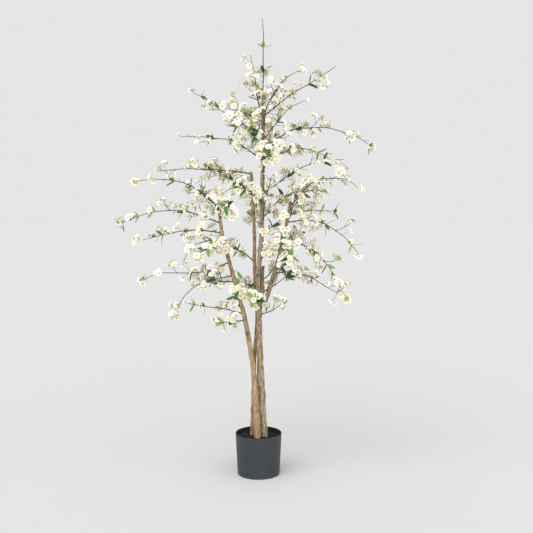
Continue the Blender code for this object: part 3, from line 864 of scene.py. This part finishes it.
def add_fine_twig(place, axis, part, finer):
    """A short bent twig that ends in blossom or a bud, some with a small leaf at the bend."""
    way = around(axis, finer.uniform(0, 360), finer.uniform(*FINE_TWIG_LEANS))
    length = FINE_TWIG_LENGTH * finer.uniform(0.5, 1.25)
    bend = place + way * length / 2
    end = bend + (way + Vector((0, 0, finer.uniform(-0.1, 0.5)))).normalized() * length / 2
    twigs.add(*wire([place, bend, end], *FINE_TWIG_RADII, 0.2, TWIG_SPOTS, TWIG_SIDES))
    onward = (end - bend).normalized()
    if finer.random() < BLOSSOM_SHARE:
        bunches.append(Bunch(end, onward, finer.choice(part.fine_bunch)))
    else:
        buds.append((end, onward))
    if finer.random() < SMALL_LEAF_SHARE:
        way = around(onward, finer.uniform(0, 360), finer.uniform(*SMALL_LEAF_LEANS))
        leaves.append(Leaf(bend, way, onward, finer.uniform(*SMALL_LEAF)))


space = Space()
for limb_name, limb in LIMBS.items():
    foot, top = limb.stations[0][2], limb.stations[-1][2]
    count = max(3, round((top - foot) / POLE_RING_SPACING))
    places = [limb_point(limb, foot + (top - foot) * i / count) for i in range(count + 1)]
    for (start, radius), (end, unused) in zip(places, places[1:]):
        space.take(limb_name, start, end, radius)
grown = []
for number, sprig in enumerate(SPRIGS, 1):
    chance = random.Random(number)
    points, radii = stem_path(sprig, chance)
    for start, end, radius in zip(points, points[1:], radii):
        space.take(number, start, end, radius)
    grown.append((number, sprig, chance, points))

for number, sprig, chance, points in grown:
    finer = random.Random(1000 + number)
    spans = len(points) - 1
    first = (points[1] - points[0]).normalized()
    joints = [points[0] - first * WIRE_DEPTH] + points
    leader = number == 1
    if leader:
        joints.append(points[-1] + (points[-1] - points[-2]).normalized() * LEADER_TIP)
    stems.add(*wire(joints, WIRE_ROOT_RADIUS, WIRE_TIP_RADIUS, KNUCKLE, STEM_SPOTS, STEM_SIDES))
    for i in range(1, spans + 1):
        node, axis = points[i], (points[i] - points[i - 1]).normalized()
        share = i / spans
        part = INNER if share < INNER_SHARE else OUTER
        if leader and share > LEADER_BARE:
            continue
        if i % 2 and i < spans:
            way = drawn_way(axis, TWIG_ANGLE, chance)
            onward = (way + Vector((0, 0, TWIG_LIFT))).normalized()
            half = TWIG_LENGTH * chance.uniform(0.7, 1.2) / 2
            bend = node + way * half
            end = bend + onward * half
            if not (space.is_free(number, node.lerp(bend, 0.4), bend, TWIG_RADIUS)
                    and space.claim(number, bend, end, TWIG_RADIUS)):
                continue
            space.take(number, node, bend, TWIG_RADIUS)
            twigs.add(*wire([node, bend, end], *SIDE_TWIG_RADII, 0.25, TWIG_SPOTS, TWIG_SIDES))
            leaf = leaf_way(number, bend, onward, space, chance)
            blossom = blossom_way(number, end, onward, space, chance)
            if leaf and share < 0.9:
                add_fine_twig(bend, onward, part, finer)
            if blossom:
                bunches.append(Bunch(end, blossom, finer.choice(TWIG_BUNCH)))
        else:
            blossom = blossom_way(number, node, axis, space, chance)
            leaf = leaf_way(number, node, axis, space, chance)
            tip = i == spans
            count = sprig.tip if tip else finer.choice(part.stem_bunch)
            if blossom and count:
                bunches.append(Bunch(node, blossom, count))
            if leaf and not tip and finer.random() < STEM_LEAF_SHARE:
                leaves.append(Leaf(node, leaf, axis, finer.uniform(*STEM_LEAF)))
            if tip and not count:
                buds.append((node, axis))
        for spot in part.fine_spots:
            if finer.random() < part.fine_chance:
                place = points[i - 1].lerp(node, spot + finer.uniform(-0.12, 0.12))
                add_fine_twig(place, axis, part, finer)
    if leader:
        buds.append((points[-1], around(first, 200, 40)))
    extra = (finer.uniform(0.18, 0.38),) if finer.random() < EXTRA_WHORL_SHARE else ()
    for whorl in sprig.whorls + extra:
        i = min(int(whorl * spans), spans - 1)
        place = points[i].lerp(points[i + 1], whorl * spans - i)
        add_whorl(place, (points[i + 1] - points[i]).normalized(), finer)

wrap, shader, paint = new_material("paper_bark", 0.85)
blotches = paint.noise(0.006, 2.0)
scars = paint.noise(0.0016, 1.0)
dusk = blotches.within(0.38, 0.62).blend((0.072, 0.050, 0.036), (0.150, 0.112, 0.082))
feed(shader, "Base Color", scars.within(0.62, 0.70).blend(dusk, (0.26, 0.21, 0.16)))
bump(shader, scars, 0.0006)
stem_piece = stems.piece("stems", wrap)
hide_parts(*[f"{sprig.limb}_sprig_{number:02d}"
                          for number, sprig in enumerate(SPRIGS, 1)])
twigs.piece("twigs", wrap)


# The leaves
# Lance-shaped leaves cut from woven cloth and pressed over a wire rib, in three greens.
# They stand in whorls of three on the stems, with small ones among the blossom.

LEAF_HALF_WIDTH = 0.158
LEAF_FOLD = 0.22
LEAF_LOTS = (5, 3, 4)
SMALL_LEAF_LOTS = (3, 1, 6)
LEAF_GREENS = {
    "leaves_mid": (0.062, 0.165, 0.020),
    "leaves_dark": (0.018, 0.062, 0.011),
    "leaves_light": (0.170, 0.310, 0.055),
}


def leaf_shape(curl, twist):
    """A leaf of length 1 along Z, with its upper side towards Y.

    Its half width is a product of powers of the distances from its two ends. Its halves fold
    up from the rib by a share of the width, and its length bends away as the square of z.
    """
    v = np.linspace(0, 1, 10)[:, None]
    u = np.linspace(-1, 1, 5)[None, :]
    wide = v ** 0.75 * (1 - v) ** 0.85
    wide = LEAF_HALF_WIDTH * wide / wide.max() + 0.010
    wave = 0.012 * np.sin(9 * v) * u
    up = LEAF_FOLD * np.abs(u) * wide - curl * v ** 2 + wave + twist * u * wide * v
    return sheet(np.stack([-u * wide, up, v + 0 * u], -1))


def facing_frames(ways, faces):
    """Frames whose third vector is a way and whose second lies towards a face."""
    ways = unit(ways)
    side = np.cross(faces, ways)
    side /= np.linalg.norm(side, axis=1, keepdims=True) + 1e-9
    return np.stack([side, np.cross(ways, side), ways], axis=1)


leaf_shapes = [leaf_shape(0.10, 0.3), leaf_shape(0.22, -0.4), leaf_shape(0.02, 0.1)]
leaf_heaps = {name: Heap() for name in LEAF_GREENS}
leaf_stream = random.Random(5)
greens = list(LEAF_GREENS)
leaf_lots = {}
for leaf in leaves:
    tint = leaf_stream.choices(greens, LEAF_LOTS)[0]
    if leaf.length < SMALL_LEAF[1]:
        tint = leaf_stream.choices(greens, SMALL_LEAF_LOTS)[0]
    leaf_lots.setdefault((tint, leaf_stream.randrange(3)), []).append(leaf)
for (tint, form), lot in leaf_lots.items():
    spots, ways, faces, lengths = (np.array(column) for column in zip(*lot))
    leaf_heaps[tint].add(*copies(leaf_shapes[form], spots, facing_frames(ways, faces), lengths))
for name, green in LEAF_GREENS.items():
    cloth, shader, paint = new_material(name + "_cloth", 0.55)
    weave = paint.noise(0.0010, 1.0)
    shade = paint.noise(0.012, 2.0)
    lighter = tuple(min(1.0, c * 1.5 + 0.01) for c in green)
    feed(shader, "Base Color", shade.within(0.35, 0.70).blend(green, lighter))
    bump(shader, weave, 0.0003)
    leaf_heaps[name].piece(name, cloth)


# The blossoms
# Five cloth petals, dyed in two yellows towards the middle, round a tuft of stamens with
# ochre heads, in an olive cup on a short wire stalk. They stand in bunches, among closed buds.

PETAL_LENGTH = 0.0176
PETAL_HALF_WIDTH = 0.0074
CLAW_ROWS = 2
MIDDLE_ROWS = 4
STAMEN_COUNT = 8
OUTWARD_TURN = 0.45
LONE_LEANS = (8, 25)
BUNCH_LEANS = (30, 62)
STALK_REACHES = (0.009, 0.019)
BLOSSOM_SIZES = (0.86, 1.10)

# How far the tips of the petals lean out in each form of blossom, in degrees
OPENINGS = (78, 88, 98, 70, 106, 84)
TINT_LOTS = (7, 3, 1)
PETAL_TINTS = {
    "petals_white": (0.92, 0.915, 0.885),
    "petals_cream": (0.91, 0.88, 0.77),
    "petals_blush": (0.90, 0.83, 0.71),
}

# The name, colour, roughness and depth of weave of the material of each part but the petals
PART_FINISHES = {
    "petal_middles": ("middle_cloth", (0.93, 0.90, 0.73), 0.7, 0.0002),
    "petal_claws": ("claw_cloth", (0.86, 0.74, 0.38), 0.7, 0.0002),
    "filaments": ("filament_thread", (0.86, 0.76, 0.42), 0.6, 0.0001),
    "stamen_heads": ("stamen_plastic", (0.74, 0.50, 0.15), 0.55, 0.0001),
    "cups": ("olive_cup", (0.38, 0.36, 0.14), 0.7, 0.0002),
}


def petal(first_lean, last_lean, cup, ruffle, turn):
    """A petal as a grid of points, which starts at the middle of the blossom.

    Along its length it leans from the axis by an angle that grows evenly from the first lean
    to the last. Its half width grows as a power of the length and rounds off at the tip,
    which has a small notch. Its edges rise by the cup, and one edge lies over the next petal.
    """
    v = np.linspace(0, 1, 7)[:, None]
    u = np.linspace(-1, 1, 5)[None, :]
    v = v * (1 - 0.10 * np.exp(-(u / 0.35) ** 2) * v ** 4)
    start, grow = math.radians(first_lean), math.radians(last_lean - first_lean)
    out = PETAL_LENGTH * (math.cos(start) - np.cos(start + grow * v)) / grow
    up = PETAL_LENGTH * (np.sin(start + grow * v) - math.sin(start)) / grow
    wide = v ** 0.6 * np.sqrt(np.clip(1 - v ** 5, 0, 1)) / 0.72
    wide = PETAL_HALF_WIDTH * wide + 0.0007
    across = u * wide * (1 - 0.12 * np.abs(u) * v)
    lift = cup * u ** 2 * wide + 0.0007 * u * v + ruffle * np.sin(4 * u + turn) * v ** 2
    lean = start + grow * v
    out = out - lift * np.cos(lean)
    up = up + lift * np.sin(lean)
    return np.stack([out * np.cos(turn) - across * np.sin(turn),
                     out * np.sin(turn) + across * np.cos(turn), up], -1)


def blossom_form(stream, opening):
    """The petals in three bands, the stamens and the cup of one blossom that faces along Z."""
    parts = {part: Heap() for part in ("petals", *PART_FINISHES)}
    for k in range(5):
        turn = 2 * np.pi * k / 5 + stream.uniform(-0.10, 0.10)
        grid = petal(46 + stream.uniform(-7, 7), opening + stream.uniform(-14, 14),
                     stream.uniform(0.25, 0.55), stream.uniform(0.0003, 0.0009), turn)
        parts["petal_claws"].add(*sheet(grid[:CLAW_ROWS + 1]))
        parts["petal_middles"].add(*sheet(grid[CLAW_ROWS:MIDDLE_ROWS + 1]))
        parts["petals"].add(*sheet(grid[MIDDLE_ROWS:]))
    for k in range(STAMEN_COUNT):
        way = 2 * np.pi * k / STAMEN_COUNT + stream.uniform(-0.3, 0.3)
        lean = math.radians(stream.uniform(8, 48))
        spoke = np.array([math.sin(lean) * math.cos(way), math.sin(lean) * math.sin(way),
                          math.cos(lean)])
        reach = stream.uniform(0.0055, 0.0080)
        path = np.outer([0.1, 0.9], spoke) * reach + (0, 0, 0.001)
        parts["filaments"].add(*sheet(rings(path, [0.00032, 0.00026], 3), True))
        head = np.outer([0.84, 0.92, 1.0], spoke) * reach + (0, 0, 0.001)
        parts["stamen_heads"].add(*sheet(rings(head, [0.00006, 0.00090, 0.00006], 3), True))
    heart = [(0.0024, 0.0010), (0.0013, 0.0030), (0.0002, 0.0035)]
    parts["stamen_heads"].add(*sheet(turned(heart, 6), True))
    cup = [(0.0006, -0.0055), (0.0020, -0.0020), (0.0024, 0.0004)]
    parts["cups"].add(*sheet(turned(cup, 6), True))
    for k in range(5):
        grid = petal(60, 100, 0.1, 0.0, 2 * np.pi * (k + 0.5) / 5) * 0.24
        parts["cups"].add(*sheet(grid[::3, ::2] - (0, 0, 0.0007)))
    return {part: heap.joined() for part, heap in parts.items()}


form_stream = random.Random(11)
forms = [blossom_form(form_stream, opening) for opening in OPENINGS]

bloom_stream = random.Random(12)
bloom_lots = {}
stalks = Heap()
for bunch in bunches:
    turn = bloom_stream.uniform(0, 360)
    tint = bloom_stream.choices(list(PETAL_TINTS), TINT_LOTS)[0]
    for k in range(bunch.count):
        lean = bloom_stream.uniform(*(LONE_LEANS if bunch.count == 1 else BUNCH_LEANS))
        way = around(bunch.facing, turn + 360 * k / bunch.count, lean)
        reach = bloom_stream.uniform(*STALK_REACHES)
        heart = bunch.place + way * reach
        outward = Vector((heart.x, heart.y, 0)).normalized()
        facing = (way + bunch.facing * 0.5 + outward * OUTWARD_TURN
                  + Vector((0, 0, 0.15))).normalized()
        bend = bunch.place + (way + bunch.facing * 0.4).normalized() * reach * 0.5
        stalks.add(*wire([bunch.place, bend, heart - facing * 0.005], 0.0006, 0.0006, 0.0,
                         (0.0, 0.5), 4))
        form = bloom_stream.randrange(len(OPENINGS))
        roll = bloom_stream.uniform(0, 2 * math.pi)
        size = bloom_stream.uniform(*BLOSSOM_SIZES)
        bloom_lots.setdefault((tint, form), []).append((heart, facing, roll, size))

heaps = {name: Heap() for name in (*PETAL_TINTS, *PART_FINISHES)}
for (tint, form), lot in bloom_lots.items():
    spots, ways, rolls, sizes = (np.array(column) for column in zip(*lot))
    turns = frames_along(ways, rolls)
    for part, shape in forms[form].items():
        heaps[tint if part == "petals" else part].add(*copies(shape, spots, turns, sizes))

bud_shape = sheet(turned([(0.0006, 0.001), (0.0030, 0.004), (0.0036, 0.007), (0.0026, 0.0105),
                          (0.0006, 0.0125)], 8), True, True)
bud_cup = sheet(turned([(0.0005, -0.002), (0.0017, 0.0005), (0.0030, 0.0035),
                        (0.0031, 0.0052)], 7), True, True)
bud_spots, bud_ways = (np.array(column) for column in zip(*buds))
bud_turns = frames_along(bud_ways, np.zeros(len(buds)))
bud_sizes = np.random.default_rng(3).uniform(0.6, 1.0, len(buds))
heaps["petals_cream"].add(*copies(bud_shape, bud_spots, bud_turns, bud_sizes))
heaps["cups"].add(*copies(bud_cup, bud_spots, bud_turns, bud_sizes))


def cloth_material(name, colour, roughness, grain):
    """Dyed cloth: one colour with a slight unevenness of the dye and a fine weave."""
    material, shader, paint = new_material(name, roughness)
    uneven = paint.noise(0.010, 2.0)
    paler = tuple(min(1.0, c * 1.06) for c in colour)
    deeper = tuple(c * 0.93 for c in colour)
    feed(shader, "Base Color", uneven.within(0.35, 0.65).blend(deeper, paler))
    bump(shader, paint.noise(0.0008, 1.0), grain)
    return material


for name, colour in PETAL_TINTS.items():
    heaps[name].piece(name, cloth_material(name + "_cloth", colour, 0.7, 0.0002))
for name, finish in PART_FINISHES.items():
    part_piece = heaps[name].piece(name, cloth_material(*finish))
# The last of these parts is the cups, and the stalks have the same olive
stalks.piece("stalks", part_piece.active_material)


# The stage
# A pale studio floor and soft even light, seen by a camera about three quarters as high as
# the tree, which looks slightly down.

PHOTO_PIXELS = 533
FOCAL_PIXELS = 992.4
SENSOR = 36.0
CAMERA_PLACE = (0.0378, -4.6, 1.601)
CAMERA_PITCH = 7.45
FLOOR_RADIUS = 14.0
FLOOR_LEVEL = -0.0003
FLOOR_COLOUR = (0.585, 0.585, 0.585)
SKY_COLOUR = (0.785, 0.785, 0.785)

pale, shader, paint = new_material("pale_floor", 0.9)
shader.inputs["Base Color"].default_value = (*FLOOR_COLOUR, 1.0)
shader.inputs["Specular IOR Level"].default_value = 0.0
floor_disc = turned([(FLOOR_RADIUS, FLOOR_LEVEL), (0.001, FLOOR_LEVEL)], 64)
floor_piece = new_mesh("floor", *sheet(floor_disc, True), pale)

world = bpy.data.worlds.new("studio")
bpy.context.scene.world = world
world.use_nodes = True
sky = world.node_tree.nodes["Background"]
sky.inputs["Color"].default_value = (*SKY_COLOUR, 1.0)
sky.inputs["Strength"].default_value = 1.0


def soft_sun(name, azimuth, elevation, spread, strength):
    """Even light from one side and height, in degrees, as soft as its spread is wide."""
    light = bpy.data.lights.new(name, "SUN")
    light.angle = math.radians(spread)
    light.energy = strength
    lamp = bpy.data.objects.new(name, light)
    lamp.rotation_euler = (-direction(azimuth, elevation)).to_track_quat("-Z", "Y").to_euler()
    bpy.context.scene.collection.objects.link(lamp)


soft_sun("key", 232, 52, 50, 1.55)
soft_sun("fill", 318, 38, 60, 0.60)
soft_sun("front", 268, 10, 70, 0.85)

camera_data = bpy.data.cameras.new("camera")
camera_data.sensor_width = SENSOR
camera_data.lens = SENSOR * FOCAL_PIXELS / PHOTO_PIXELS
camera = bpy.data.objects.new("camera", camera_data)
camera.location = CAMERA_PLACE
camera.rotation_euler = (math.radians(90 - CAMERA_PITCH), 0, 0)
bpy.context.scene.collection.objects.link(camera)
bpy.context.scene.camera = camera
bpy.context.scene.view_settings.view_transform = "Standard"
